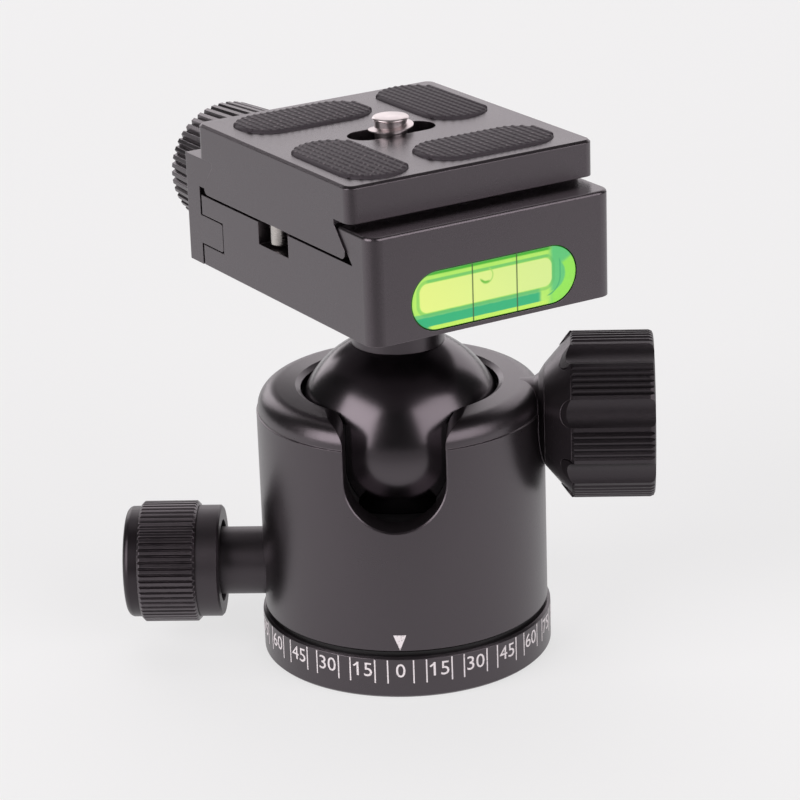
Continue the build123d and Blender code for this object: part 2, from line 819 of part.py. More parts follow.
# Extruded body: channel floor, fixed dovetail jaw, groove for the sliding jaw's tongue.
with BuildPart() as clamp_body:
    fixed_flank_foot = plate_across - dovetail_half_width(channel_floor) - dovetail_gap
    fixed_flank_tip = plate_across - dovetail_half_width(fixed_jaw_top) - dovetail_gap
    groove_back = tongue_tip - tongue_play
    with BuildSketch(clamp_section(clamp_near_end)):
        with BuildLine():
            Polyline(
                (level_face, clamp_bottom),
                (body_knob_face, clamp_bottom),
                (body_knob_face, tongue_bottom - tongue_play),
                (groove_back, tongue_bottom - tongue_play),
                (groove_back, tongue_top + tongue_play),
                (body_knob_face, tongue_top + tongue_play),
                (body_knob_face, channel_floor),
                (fixed_flank_foot, channel_floor),
                (fixed_flank_tip, fixed_jaw_top),
                (level_face, fixed_jaw_top),
                close=True,
            )
        make_face()
    extrude(amount=2 * clamp_half_length)
    fillet(clamp_body.edges().filter_by(Axis.Z).sort_by(clamp_across_axis)[:2], corner_round)
    fillet(clamp_body.faces().sort_by(Axis.Z)[-1].edges(), lip_round)
    # relief slots for the plate's stop pins
    slot_middle = (stop_slot_low + stop_slot_high) / 2
    slot_offset = clamp_half_length - stop_slot_depth / 2
    with BuildSketch(clamp_level(stop_slot_floor)):
        with Locations((clamp_along - slot_offset, slot_middle), (clamp_along + slot_offset, slot_middle)):
            Rectangle(stop_slot_depth, stop_slot_high - stop_slot_low)
    extrude(amount=channel_floor - stop_slot_floor, mode=Mode.SUBTRACT)
    # seat and bore for the screw that holds the clamp on the ball's stem
    with BuildSketch(clamp_level(fixing_head_bottom)):
        Circle(fixing_pocket_radius)
    extrude(amount=channel_floor - fixing_head_bottom, mode=Mode.SUBTRACT)
    with BuildSketch(clamp_level(clamp_bottom)):
        Circle(fixing_screw_radius + run_gap)
    extrude(amount=fixing_head_bottom - clamp_bottom, mode=Mode.SUBTRACT)
    # threaded bore for the clamp screw and blind holes for the two jaw springs
    with BuildSketch(clamp_side(body_knob_face)):
        with Locations((-clamp_screw_along, clamp_screw_height)):
            Circle(clamp_screw_radius + run_gap)
    extrude(amount=clamp_screw_tip - body_knob_face, mode=Mode.SUBTRACT)
    with BuildSketch(clamp_side(body_knob_face)):
        with Locations((-spring_position, spring_height), (spring_position, spring_height)):
            Circle(spring_pocket)
    extrude(amount=spring_pocket_end - body_knob_face, mode=Mode.SUBTRACT)
    # window of the spirit level
    with BuildSketch(clamp_side(level_face)):
        with Locations((-level_centre, level_height)):
            SlotOverall(level_length, level_width)
    extrude(amount=level_depth, mode=Mode.SUBTRACT)
save(clamp_body.part, "clamp_body")

# Cap screw that ties the clamp to the ball's stem; its head sits below the channel floor.
with BuildPart() as clamp_fixing_screw:
    with BuildSketch(clamp_level(fixing_screw_bottom)):
        Circle(fixing_screw_radius)
    extrude(amount=fixing_head_bottom - fixing_screw_bottom)
    with BuildSketch(clamp_level(fixing_head_bottom)):
        Circle(fixing_head_radius)
    extrude(amount=fixing_head_top - fixing_head_bottom)
    with BuildSketch(clamp_level(fixing_head_top)):
        RegularPolygon(fixing_socket, 6, major_radius=False)
    extrude(amount=-fixing_socket_depth, mode=Mode.SUBTRACT)
save(clamp_fixing_screw.part, "clamp_fixing_screw")

# Sliding jaw: hook that fits the plate's flank, tongue that runs in the body's groove.
with BuildPart() as movable_jaw:
    with BuildSketch(clamp_section(clamp_near_end)) as jaw_outline:
        with BuildLine():
            Polyline(
                (jaw_outer, jaw_bottom),
                (jaw_outer, jaw_top),
                (plate_across + dovetail_neck + dovetail_gap, jaw_top),
                (plate_across + dovetail_neck + dovetail_gap, dovetail_shoulder),
                (plate_across + dovetail_half_width(nose_height) + dovetail_gap, nose_height),
                (jaw_inner, nose_height),
                (jaw_inner, tongue_top),
                (tongue_tip, tongue_top),
                (tongue_tip, tongue_bottom),
                (jaw_inner, tongue_bottom),
                (jaw_inner, jaw_bottom),
                close=True,
            )
        make_face()
        fillet(jaw_outline.vertices().group_by(Axis.X)[0], lip_round)
    extrude(amount=2 * clamp_half_length)
    fillet(movable_jaw.faces().sort_by(clamp_across_axis)[-1].edges(), jaw_round)
    with BuildSketch(clamp_side(jaw_outer)):
        with Locations((-clamp_screw_along, clamp_screw_height)):
            Circle(jaw_screw_hole)
    extrude(amount=tongue_tip - jaw_outer, mode=Mode.SUBTRACT)
save(movable_jaw.part, "movable_jaw")

# Two coil springs that push the jaw open when the knob is loosened.
with BuildPart() as jaw_springs:
    with BuildSketch(clamp_side(spring_pocket_end + run_gap)):
        with Locations((-spring_position, spring_height), (spring_position, spring_height)):
            Circle(spring_radius)
            Circle(spring_inner, mode=Mode.SUBTRACT)
    extrude(amount=tongue_tip - spring_pocket_end - 2 * run_gap)
save(jaw_springs.part, "jaw_springs")

with BuildPart() as clamp_knob_washer:
    with BuildSketch(clamp_side(jaw_outer)):
        with Locations((-clamp_screw_along, clamp_screw_height)):
            Circle(clamp_washer_radius)
            Circle(jaw_screw_hole, mode=Mode.SUBTRACT)
    extrude(amount=clamp_washer_thickness)
save(clamp_knob_washer.part, "clamp_knob_washer")

with BuildPart() as clamp_screw:
    with BuildSketch(clamp_side(clamp_screw_tip)):
        with Locations((-clamp_screw_along, clamp_screw_height)):
            Circle(clamp_screw_radius)
    extrude(amount=clamp_screw_end - clamp_screw_tip)
save(clamp_screw.part, "clamp_screw")

# Clamp knob: smooth collar and flare towards the jaw, tapered barrel with coarse ridges.
with BuildPart() as clamp_knob:
    with BuildSketch(clamp_screw_face.offset(clamp_barrel_start)):
        with BuildLine():
            Polyline(*ridge_points(clamp_barrel_radius, clamp_ridges, clamp_ridge_depth), close=True)
        make_face()
    with BuildSketch(clamp_screw_face.offset(clamp_knob_end)):
        with BuildLine():
            Polyline(*ridge_points(clamp_knob_end_radius, clamp_ridges, clamp_ridge_depth), close=True)
        make_face()
    loft(ruled=True)
    with BuildSketch(clamp_screw_profile):
        with BuildLine():
            Polyline(
                (clamp_knob_start, 0),
                (clamp_knob_start, clamp_collar_radius),
                (clamp_knob_shoulder, clamp_collar_radius),
                (clamp_barrel_start, clamp_barrel_radius - clamp_ridge_depth),
                (clamp_flare_end, clamp_barrel_root),
                (clamp_flare_end, 0),
                close=True,
            )
        make_face()
    revolve(axis=clamp_screw_axis)
    with BuildSketch(clamp_screw_profile):
        with BuildLine():
            Polyline(
                (clamp_knob_start, 0),
                (clamp_knob_start, clamp_screw_radius),
                (clamp_screw_end, clamp_screw_radius),
                (clamp_screw_end, 0),
                close=True,
            )
        make_face()
    revolve(axis=clamp_screw_axis, mode=Mode.SUBTRACT)
    with BuildSketch(clamp_screw_face.offset(clamp_knob_end)):
        Circle(clamp_dish_radius)
    extrude(amount=-clamp_dish_depth, mode=Mode.SUBTRACT)
save(clamp_knob.part, "clamp_knob")

# ======== spirit level ==================================================================

# Clear block with a bore for the spirit.
with BuildPart() as level_vial:
    with BuildSketch(clamp_side(level_face + run_gap)):
        with Locations((-level_centre, level_height)):
            SlotOverall(level_length - 2 * run_gap, level_width - 2 * run_gap)
    extrude(amount=level_depth - 2 * run_gap)
    with BuildSketch(clamp_section(spirit_centre - spirit_length / 2)):
        with Locations((spirit_across, spirit_height)):
            Circle(spirit_radius)
    extrude(amount=level_length, mode=Mode.SUBTRACT)
save(level_vial.part, "level_vial")

with BuildPart() as level_spirit:
    with BuildSketch(clamp_section(spirit_centre - spirit_length / 2)):
        with Locations((spirit_across, spirit_height)):
            Circle(spirit_radius - bearing_gap)
    extrude(amount=spirit_length)
    with Locations(clamp_frame.from_local_coords((bubble_along, spirit_across, bubble_height))):
        Sphere(bubble_radius, mode=Mode.SUBTRACT)
save(level_spirit.part, "level_spirit")

with BuildPart() as level_plug:
    with BuildSketch(clamp_section(spirit_centre + spirit_length / 2)):
        with Locations((spirit_across, spirit_height)):
            Circle(spirit_radius - bearing_gap)
    extrude(amount=level_plug_length)
save(level_plug.part, "level_plug")

# ======== quick-release plate ===========================================================

with BuildPart() as quick_release_plate:
    with BuildSketch(clamp_section(plate_along - plate_length / 2)) as plate_outline:
        with BuildLine():
            left = [
                (plate_across - plate_width / 2, plate_top),
                (plate_across - plate_width / 2, flange_bottom),
                (plate_across - dovetail_neck, flange_bottom),
                (plate_across - dovetail_neck, dovetail_shoulder),
                (plate_across - dovetail_half_width(plate_bottom), plate_bottom),
            ]
            right = [(2 * plate_across - across, height) for across, height in reversed(left)]
            Polyline(*left, *right, close=True)
        make_face()
        fillet(plate_outline.vertices().group_by(Axis.Y)[0], dovetail_foot_round)
    extrude(amount=plate_length)
    flange_corners = quick_release_plate.edges().filter_by(Axis.Z)
    flange_corners = flange_corners.filter_by(lambda edge: edge.center().Z > flange_bottom)
    fillet(flange_corners, plate_corner)
    chamfer(quick_release_plate.faces().sort_by(Axis.Z)[-1].edges(), plate_bevel)
    # recesses of the rubber pads
    with BuildSketch(clamp_level(plate_top - pad_recess)):
        with Locations(*pad_places):
            SlotOverall(pad_length, pad_width)
    extrude(amount=pad_recess, mode=Mode.SUBTRACT)
    # slot of the camera screw, and the pocket below it for the screw's head
    with BuildSketch(clamp_level(plate_bottom)):
        with Locations((plate_along, plate_across)):
            SlotOverall(screw_slot_length, screw_slot_width)
    extrude(amount=plate_top - plate_bottom, mode=Mode.SUBTRACT)
    with BuildSketch(clamp_level(plate_bottom)):
        with Locations((plate_along, plate_across)):
            SlotOverall(head_pocket_length, head_pocket_width)
    extrude(amount=head_pocket_roof - plate_bottom, mode=Mode.SUBTRACT)
    # blind holes of the stop pins
    with BuildSketch(clamp_level(plate_bottom)):
        with Locations(*stop_pin_places):
            Circle(stop_pin_radius)
    extrude(amount=stop_pin_top - plate_bottom, mode=Mode.SUBTRACT)
save(quick_release_plate.part, "quick_release_plate")

with BuildPart() as rubber_pads:
    with BuildSketch(clamp_level(plate_top - pad_recess)):
        with Locations(*pad_places):
            SlotOverall(pad_length - 2 * bearing_gap, pad_width - 2 * bearing_gap)
    extrude(amount=pad_recess + pad_proud)
    chamfer(rubber_pads.faces().group_by(Axis.Z)[-1].edges(), pad_bevel)
save(rubber_pads.part, "rubber_pads")

with BuildPart() as plate_stop_pins:
    with BuildSketch(clamp_level(stop_pin_bottom)):
        with Locations(*stop_pin_places):
            Circle(stop_pin_radius)
    extrude(amount=stop_pin_top - stop_pin_bottom)
    chamfer(plate_stop_pins.faces().group_by(Axis.Z)[0].edges(), stop_pin_chamfer)
save(plate_stop_pins.part, "plate_stop_pins")

# ======== camera screw ==================================================================

with BuildPart() as camera_screw_washer:
    with BuildSketch(clamp_level(screw_head_top)):
        with Locations((screw_along, plate_across)):
            Circle(screw_washer_radius)
            Circle(screw_shank_radius + run_gap, mode=Mode.SUBTRACT)
    extrude(amount=screw_washer_top - screw_head_top)
save(camera_screw_washer.part, "camera_screw_washer")

with BuildPart() as camera_screw:
    with BuildSketch(clamp_section(screw_along)):
        with BuildLine():
            Polyline(
                (plate_across, screw_head_bottom),
                (plate_across + screw_head_radius, screw_head_bottom),
                (plate_across + screw_head_radius, screw_head_top - run_gap),
                (plate_across + screw_shank_radius, screw_head_top - run_gap),
                (plate_across + screw_shank_radius, screw_thread_bottom),
                (plate_across + screw_thread_radius, screw_thread_bottom),
                (plate_across + screw_thread_radius, screw_top - screw_point),
                (plate_across + screw_thread_radius - screw_point, screw_top),
                (plate_across, screw_top),
                close=True,
            )
        make_face()
    revolve(axis=Axis(clamp_frame.from_local_coords((screw_along, plate_across, 0)), (0, 0, 1)))
    with BuildSketch(clamp_level(screw_head_bottom)):
        with Locations((screw_along, plate_across)):
            Rectangle(2 * screw_head_radius, coin_slot_width)
    extrude(amount=coin_slot_depth, mode=Mode.SUBTRACT)
save(camera_screw.part, "camera_screw")
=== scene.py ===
import json
from math import cos, pi, radians, sin, sqrt

import bmesh
import bpy
from mathutils import Matrix, Vector


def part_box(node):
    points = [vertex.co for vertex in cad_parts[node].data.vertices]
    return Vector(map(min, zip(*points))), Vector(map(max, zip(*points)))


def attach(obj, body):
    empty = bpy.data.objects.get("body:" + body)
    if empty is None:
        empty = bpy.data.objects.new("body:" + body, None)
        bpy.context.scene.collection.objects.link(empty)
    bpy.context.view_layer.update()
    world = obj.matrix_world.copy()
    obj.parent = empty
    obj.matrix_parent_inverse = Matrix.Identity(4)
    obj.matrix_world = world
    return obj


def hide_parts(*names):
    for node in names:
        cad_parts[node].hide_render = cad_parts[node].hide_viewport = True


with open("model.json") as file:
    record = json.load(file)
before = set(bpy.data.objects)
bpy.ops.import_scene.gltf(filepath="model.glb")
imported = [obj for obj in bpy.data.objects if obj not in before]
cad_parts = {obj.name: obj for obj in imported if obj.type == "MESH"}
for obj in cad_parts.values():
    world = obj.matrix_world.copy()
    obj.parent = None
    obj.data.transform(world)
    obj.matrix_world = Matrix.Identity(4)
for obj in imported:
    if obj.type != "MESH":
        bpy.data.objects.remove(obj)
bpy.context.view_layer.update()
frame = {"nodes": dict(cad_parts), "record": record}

MM = 0.001


# ---- sizes, read from the frame -----------------------------------------------------------------

def node_low(name):
    return Vector(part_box(name)[0]) / MM


def node_high(name):
    return Vector(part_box(name)[1]) / MM


CLAMP_TURN = radians(34.15)
CLAMP = Matrix.Rotation(CLAMP_TURN, 4, "Z")
FRONT = radians(-90)
SHARP_ANGLE = radians(32)
ROUND_STEPS = 64

DRUM_RADIUS = node_high("base_ring").x
HOUSING_RADIUS = -node_low("housing").x
INK_THICKNESS = 0.03
DIGIT_HEIGHT = 2.05
DIGIT_MIDDLE = 4.15
TICK_BOTTOM = 2.2
TICK_TOP = 5.7
TICK_WIDTH = 0.19
DIGIT_WIDTH = DIGIT_HEIGHT * 1.03
NARROW_DIGIT_WIDTH = DIGIT_HEIGHT * 0.72
NUMBER_HALF_THICKNESS = 0.02
FLAG_SIZE = (0.27, 0.08, 2 * NUMBER_HALF_THICKNESS, 1)
FLAG_LEAN = radians(38)
INDEX_TOP = 9.33
INDEX_TIP = 7.05
INDEX_HALF_WIDTH = 0.9

PLATE_TOP = node_high("quick_release_plate").z
PAD_TOP = node_high("rubber_pads").z
PLATE_CENTRE = Vector((0.54, 0.75, 0))
PAD_LENGTH = 20.66
PAD_WIDTH = 10.16
PADS_ALONG = [(-6.26, 13.5), (6.26, -13.5)]
PADS_ACROSS = [(-12.3, -9.4), (12.3, 9.4)]
PAD_EDGE_ROUND = 0.62
PAD_RIB_PITCH = 1.05
PAD_RIB_RADIUS = 0.42
PAD_RIB_RISE = 0.14
PAD_DASH_PITCH = 1.07

SCREW_CENTRE = Vector((0.45, 0.75, 0))
SCREW_TOP = node_high("camera_screw").z
SCREW_BOTTOM = node_low("camera_screw").z
SCREW_PITCH = 1.27
SCREW_CREST = 3.15
SCREW_ROOT = 2.25
SCREW_THREAD_START = PLATE_TOP + 0.12
SCREW_THREAD_ANGLE = radians(120)
SCREW_THREAD_TURNS = 1.08
SCREW_CHAMFER_START = PLATE_TOP + 1.1
SCREW_CHAMFER_SLOPE = 2.5
SCREW_CREST_HALF = 0.09
SCREW_FLANK = 0.42
SCREW_SUNK = 0.1
SCREW_HEAD_RADIUS = 5.0
SCREW_HEAD_HEIGHT = 2.15
SCREW_SLOT_DEPTH = 1.0
SCREW_SLOT_HALF_WIDTH = 0.7
SCREW_POINT_RADIUS = 2.58
SCREW_POINT_HEIGHT = 0.36

SOCKET_RADIUS = 4.76
SOCKET_CREST = 4.1
SOCKET_PITCH = 1.5875
SOCKET_ROOT_HALF = 0.7
SOCKET_CREST_HALF = 0.1
SOCKET_LENGTH = node_high("tripod_thread_insert").z

SPRING_ALONG = 12.0
SPRING_HEIGHT = 60.0
SPRING_START = 9.05
SPRING_END = 15.75
SPRING_RADIUS = 1.47
SPRING_WIRE = 0.26
SPRING_TURNS = 5.5

LEVEL_LENGTH = 26.1
LEVEL_WIDTH = 8.2
LEVEL_CENTRE = (0.5, 59.55)
LEVEL_FACE = -24.65
LEVEL_DEPTH = 8.4
LEVEL_EDGE_ROUND = 0.2
VIAL_CENTRE = (-0.83, 60.1)
VIAL_HALF = (10.4, 2.0)
VIAL_CORNER = 1.2
BUBBLE_CENTRE = (-0.85, 61.45)
BUBBLE_RADIUS = 1.05
LEVEL_LINES = (-2.98, 4.0)
LEVEL_LINE_HALF_WIDTH = 0.11


# ---- shader maths -------------------------------------------------------------------------------

class Wire:
    """A shader socket that Python's operators work on."""

    def __init__(self, tree, socket):
        self.tree = tree
        self.socket = socket

    def math(self, operation, *values):
        node = self.tree.node("ShaderNodeMath", {"operation": operation}, *values)
        return Wire(self.tree, node.outputs[0])

    def __add__(self, other):
        return self.math("ADD", self, other)

    def __radd__(self, other):
        return self.math("ADD", other, self)

    def __sub__(self, other):
        return self.math("SUBTRACT", self, other)

    def __rsub__(self, other):
        return self.math("SUBTRACT", other, self)

    def __mul__(self, other):
        return self.math("MULTIPLY", self, other)

    def __rmul__(self, other):
        return self.math("MULTIPLY", other, self)

    def __abs__(self):
        return self.math("ABSOLUTE", self)

    def above(self, floor):
        """The value, or `floor` where that is more."""
        return self.math("MAXIMUM", self, floor)

    def root(self):
        return self.math("SQRT", self)

    def wave(self, pitch):
        """A sine of this length, running from 0 to 1."""
        return self.math("SINE", self * (2 * pi / pitch)) * 0.5 + 0.5

    def ramp(self, low, high):
        """0 at low, 1 at high, smooth between them."""
        node = self.tree.node(
            "ShaderNodeMapRange", {"interpolation_type": "SMOOTHSTEP"}, self, low, high, 0.0, 1.0
        )
        return Wire(self.tree, node.outputs[0])


class Shader:
    """A material's node tree and the few ways in which its nodes are made."""

    def __init__(self, name, **constants):
        self.material = bpy.data.materials.new(name)
        self.material.use_nodes = True
        self.nodes = self.material.node_tree.nodes
        self.links = self.material.node_tree.links
        self.surface = self.nodes["Principled BSDF"]
        for socket, value in constants.items():
            self.surface.inputs[socket.replace("_", " ")].default_value = value

    def node(self, kind, settings, *values, **named):
        made = self.nodes.new(kind)
        for key, value in settings.items():
            setattr(made, key, value)
        for index, value in list(enumerate(values)) + list(named.items()):
            target = made.inputs[index.replace("_", " ") if isinstance(index, str) else index]
            if isinstance(value, Wire):
                self.links.new(value.socket, target)
            else:
                target.default_value = value
        return made

    def place(self, turn=0.0, stretch=(1, 1, 1)):
        """Object coordinates in millimetres, turned about Z and stretched along their axes."""
        source = self.node("ShaderNodeTexCoord", {})
        moved = self.node(
            "ShaderNodeMapping",
            {"vector_type": "TEXTURE"},
            Wire(self, source.outputs["Object"]),
            (0, 0, 0),
            (0, 0, turn),
            tuple(MM * s for s in stretch),
        )
        return Wire(self, moved.outputs[0])

    def axes(self, turn=0.0):
        """X, Y and Z in millimetres, in axes turned about Z."""
        split = self.node("ShaderNodeSeparateXYZ", {}, self.place(turn))
        return [Wire(self, output) for output in split.outputs]

    def noise(self, size, detail=2.0, stretch=(1, 1, 1)):
        """Noise whose blobs are about `size` millimetres across."""
        spread = tuple(size * s for s in stretch)
        made = self.node("ShaderNodeTexNoise", {}, self.place(stretch=spread), Scale=1.0, Detail=detail)
        return Wire(self, made.outputs[0])

    def specks(self, spacing, size):
        """Small round dots of this size, about `spacing` millimetres apart."""
        spread = (spacing,) * 3
        made = self.node("ShaderNodeTexVoronoi", {"feature": "F1"}, self.place(stretch=spread), Scale=1.0)
        return 1 - Wire(self, made.outputs["Distance"]).ramp(0.3 * size / spacing, size / spacing)

    def mix(self, amount, low, high):
        made = self.node("ShaderNodeMix", {"data_type": "RGBA"})
        for socket, value in ((made.inputs[0], amount), (made.inputs[6], low), (made.inputs[7], high)):
            if isinstance(value, Wire):
                self.links.new(value.socket, socket)
            else:
                socket.default_value = value
        return Wire(self, made.outputs[2])

    def set(self, **sockets):
        for socket, wire in sockets.items():
            self.links.new(wire.socket, self.surface.inputs[socket.replace("_", " ")])

    def soft_normal(self, radius):
        """The surface's direction, with its edges rounded by `radius` millimetres."""
        return Wire(self, self.node("ShaderNodeBevel", {"samples": 6}, Radius=radius * MM).outputs[0])

    def edge(self, soft):
        """1 along an edge that `soft` rounds, 0 away from it."""
        plain = self.node("ShaderNodeNewGeometry", {}).outputs["Normal"]
        product = self.node("ShaderNodeVectorMath", {"operation": "DOT_PRODUCT"}, soft, Wire(self, plain))
        return (1 - Wire(self, product.outputs["Value"])).ramp(0.01, 0.14)

    def relief(self, height, depth, soft=None):
        """Bumps of `depth` millimetres, over the softened normal where one is given."""
        bump = self.node("ShaderNodeBump", {}, Strength=1.0, Distance=depth * MM, Height=height)
        if soft:
            self.links.new(soft.socket, bump.inputs["Normal"])
        self.set(Normal=Wire(self, bump.outputs[0]))


def tone(red, green, blue):
    """A colour given as it looks on a screen, 0 to 255."""
    return tuple((value / 255) ** 2.2 for value in (red, green, blue)) + (1,)


def shade(colour, amount):
    return tuple(value * amount for value in colour[:3]) + (1,)


def card_distance(along, up, centre, half, corner):
    """Distance of a point outside a rounded rectangle, in millimetres, negative inside it."""
    past_side = (abs(along - centre[0]) - (half[0] - corner)).above(0)
    past_top = (abs(up - centre[1]) - (half[1] - corner)).above(0)
    return (past_side * past_side + past_top * past_top).root() - corner


# ---- finishes -----------------------------------------------------------------------------------

BLACK = (0, 0, 0, 1)
WHITE = (1, 1, 1, 1)
ANODISED = tone(17, 15, 16)
ANODISED_SHEEN = (1.0, 0.88, 0.965, 1)
# pale edge colour: partly wear, partly a painted highlight along the edges
WORN_EDGE_AND_HIGHLIGHT = tone(128, 118, 123)
RUBBER = tone(15, 13, 14)
DUST = tone(190, 182, 182)
EDGE_WEAR_AND_HIGHLIGHT_WIDTH = 0.12
BLAST_DEPTH = 0.010


def anodised(name, gloss=1.86, roughness=0.31):
    """Bead-blasted, black anodised aluminium: plum tone, fine grain, a little dust, and paler edges that
    are partly wear and partly a painted highlight.
    """
    made = Shader(name, IOR=gloss, Specular_Tint=ANODISED_SHEEN)
    soft = made.soft_normal(EDGE_WEAR_AND_HIGHLIGHT_WIDTH)
    # edge band, broken up by noise: partly wear, partly a painted highlight
    worn_and_highlight = made.edge(soft) * made.noise(2.0).ramp(0.25, 0.6)
    cloud = made.noise(9.0, detail=3.0)
    grit = made.noise(0.16)
    dust = made.specks(2.6, 0.045) * made.noise(5.0).ramp(0.56, 0.66)
    plain = made.mix(cloud, shade(ANODISED, 0.8), shade(ANODISED, 1.2))
    made.set(
        Base_Color=made.mix(dust * 0.5, made.mix(worn_and_highlight * 0.5, plain, WORN_EDGE_AND_HIGHLIGHT), DUST),
        Roughness=roughness + (grit - 0.5) * 0.16 + (cloud - 0.5) * 0.06,
    )
    made.relief(grit, BLAST_DEPTH, soft)
    return made.material


def polished_ball():
    """Polished, black anodised ball with a faint haze of wiping marks."""
    made = Shader("ball_polish", IOR=1.88, Specular_Tint=ANODISED_SHEEN)
    haze = made.noise(6.0, detail=4.0, stretch=(1, 1, 0.35))
    made.set(
        Base_Color=made.mix(haze, tone(3, 3, 4), tone(9, 8, 9)),
        Roughness=0.19 + haze * 0.06,
    )
    return made.material


def moulded_rubber():
    """Black rubber with a fine moulded grain and a little pale dust."""
    made = Shader("moulded_rubber", IOR=1.6, Specular_Tint=ANODISED_SHEEN)
    grain = made.noise(0.22, detail=3.0)
    cloud = made.noise(5.0)
    dust = made.specks(1.5, 0.05) * made.noise(3.0).ramp(0.5, 0.64)
    made.set(
        Base_Color=made.mix(dust * 0.5, made.mix(cloud, shade(RUBBER, 0.8), shade(RUBBER, 1.2)), DUST),
        Roughness=0.42 + (grain - 0.5) * 0.24,
    )
    made.relief(grain, 0.02)
    return made.material


def pad_rubber():
    """Rubber of the plate's pads: every rib carries a row of short raised dashes, worn pale and with a
    painted highlight on the rib tops.
    """
    made = Shader("pad_rubber", IOR=1.6, Specular_Tint=ANODISED_SHEEN)
    along, across, up = made.axes(CLAMP_TURN)
    grain = made.noise(0.25, detail=3.0)
    rib = (along - PLATE_CENTRE.x + PAD_RIB_PITCH / 4).wave(PAD_RIB_PITCH)
    dash = (across + grain * 0.3).wave(PAD_DASH_PITCH)
    top = up.ramp(PAD_TOP - 0.2, PAD_TOP - 0.04)
    # pale dashes on the rib tops: partly wear, partly a painted highlight
    worn_and_highlight = top * rib.ramp(0.55, 0.95) * dash.ramp(0.45, 0.9) * made.noise(1.1).ramp(0.4, 0.65)
    plain = made.mix(made.noise(5.0), tone(44, 41, 44), tone(54, 50, 54))
    made.set(
        Base_Color=made.mix(worn_and_highlight * 0.55, plain, tone(142, 134, 137)),
        Roughness=0.55 + grain * 0.2,
    )
    made.relief(dash * top + grain * 0.4, 0.05)
    return made.material


def bare_metal(name, colour, roughness):
    """Turned or plated metal with fine tool marks round the piece."""
    made = Shader(name, Metallic=1.0)
    lathe = made.noise(0.4, stretch=(6, 6, 0.5))
    stain = made.noise(2.5, detail=3.0)
    made.set(
        Base_Color=made.mix(stain.ramp(0.35, 0.75), shade(colour, 0.8), colour),
        Roughness=roughness + (lathe - 0.5) * 0.12,
    )
    made.relief(lathe, 0.006)
    return made.material


def plain_plastic(name, colour, roughness, sheen=WHITE):
    """Moulded plastic with a soft, uneven sheen."""
    made = Shader(name, IOR=1.5, Specular_Tint=sheen)
    cloud = made.noise(3.0, detail=3.0)
    made.set(
        Base_Color=made.mix(cloud, shade(colour, 0.9), shade(colour, 1.1)),
        Roughness=roughness + (cloud - 0.5) * 0.08,
    )
    return made.material


def printed_white():
    """White printed ink, a little worn."""
    made = Shader("scale_ink", Specular_IOR_Level=0.3)
    wear = made.noise(0.25, detail=3.0).ramp(0.3, 0.44)
    made.set(
        Base_Color=made.mix(wear, tone(175, 168, 170), tone(226, 219, 221)),
        Roughness=0.55 + wear * 0.1,
    )
    return made.material


# Colours in the level, and where each is seen: heights, and places along the clamp, in millimetres.
# The end, crescent, roof, roof shadow, under, sill, halo, arc and bubble colours are painted light and
# shade of light refracted in the acrylic.
LEVEL_BODY = (tone(170, 238, 96), tone(196, 250, 112))
LEVEL_END = tone(96, 206, 122)
LEVEL_END_START = 8.9
LEVEL_CRESCENT_HIGHLIGHT = tone(150, 238, 84)
LEVEL_CRESCENT_WIDTH = 2.0
LEVEL_ROOF_SHADE = tone(70, 184, 48)
LEVEL_ROOF_HEIGHT = 63.0
LEVEL_ROOF_SHADOW = tone(142, 222, 112)
LEVEL_ROOF_SHADOW_HEIGHT = 62.1
LEVEL_ROOF_SHADOW_TOP = 62.5
LEVEL_ROOF_SHADOW_START = -10.3
LEVEL_UNDER = tone(112, 206, 122)
LEVEL_UNDER_HEIGHT = 57.9
LEVEL_UNDER_END = 7.2
LEVEL_TEAL = tone(44, 184, 122)
LEVEL_TEAL_HEIGHT = 57.35
LEVEL_SILL_HIGHLIGHT = tone(200, 250, 96)
LEVEL_SILL_HEIGHT = 56.1
LEVEL_SILL_START = -10.4
LEVEL_SILL_END = 8.4
LEVEL_HALO_SHADE = tone(86, 190, 96)
LEVEL_HALO_OFFSET = 0.28
LEVEL_ARC_SHADE = tone(62, 178, 112)
LEVEL_ARC_OFFSET = 1.35
LEVEL_ARC_START = 8.6
LEVEL_ARC_TOP = 61.2
LEVEL_SPIRIT = (tone(236, 253, 138), tone(222, 248, 148))
BUBBLE_RIGHT_HIGHLIGHT = tone(168, 226, 104)
BUBBLE_LOWER_SHADE = tone(118, 200, 72)
LEVEL_LINE = tone(66, 92, 50)
LEVEL_RIM = tone(36, 112, 26)
# painted glow: how strongly the level's colours are also given out as light
LEVEL_PAINTED_GLOW = 0.26


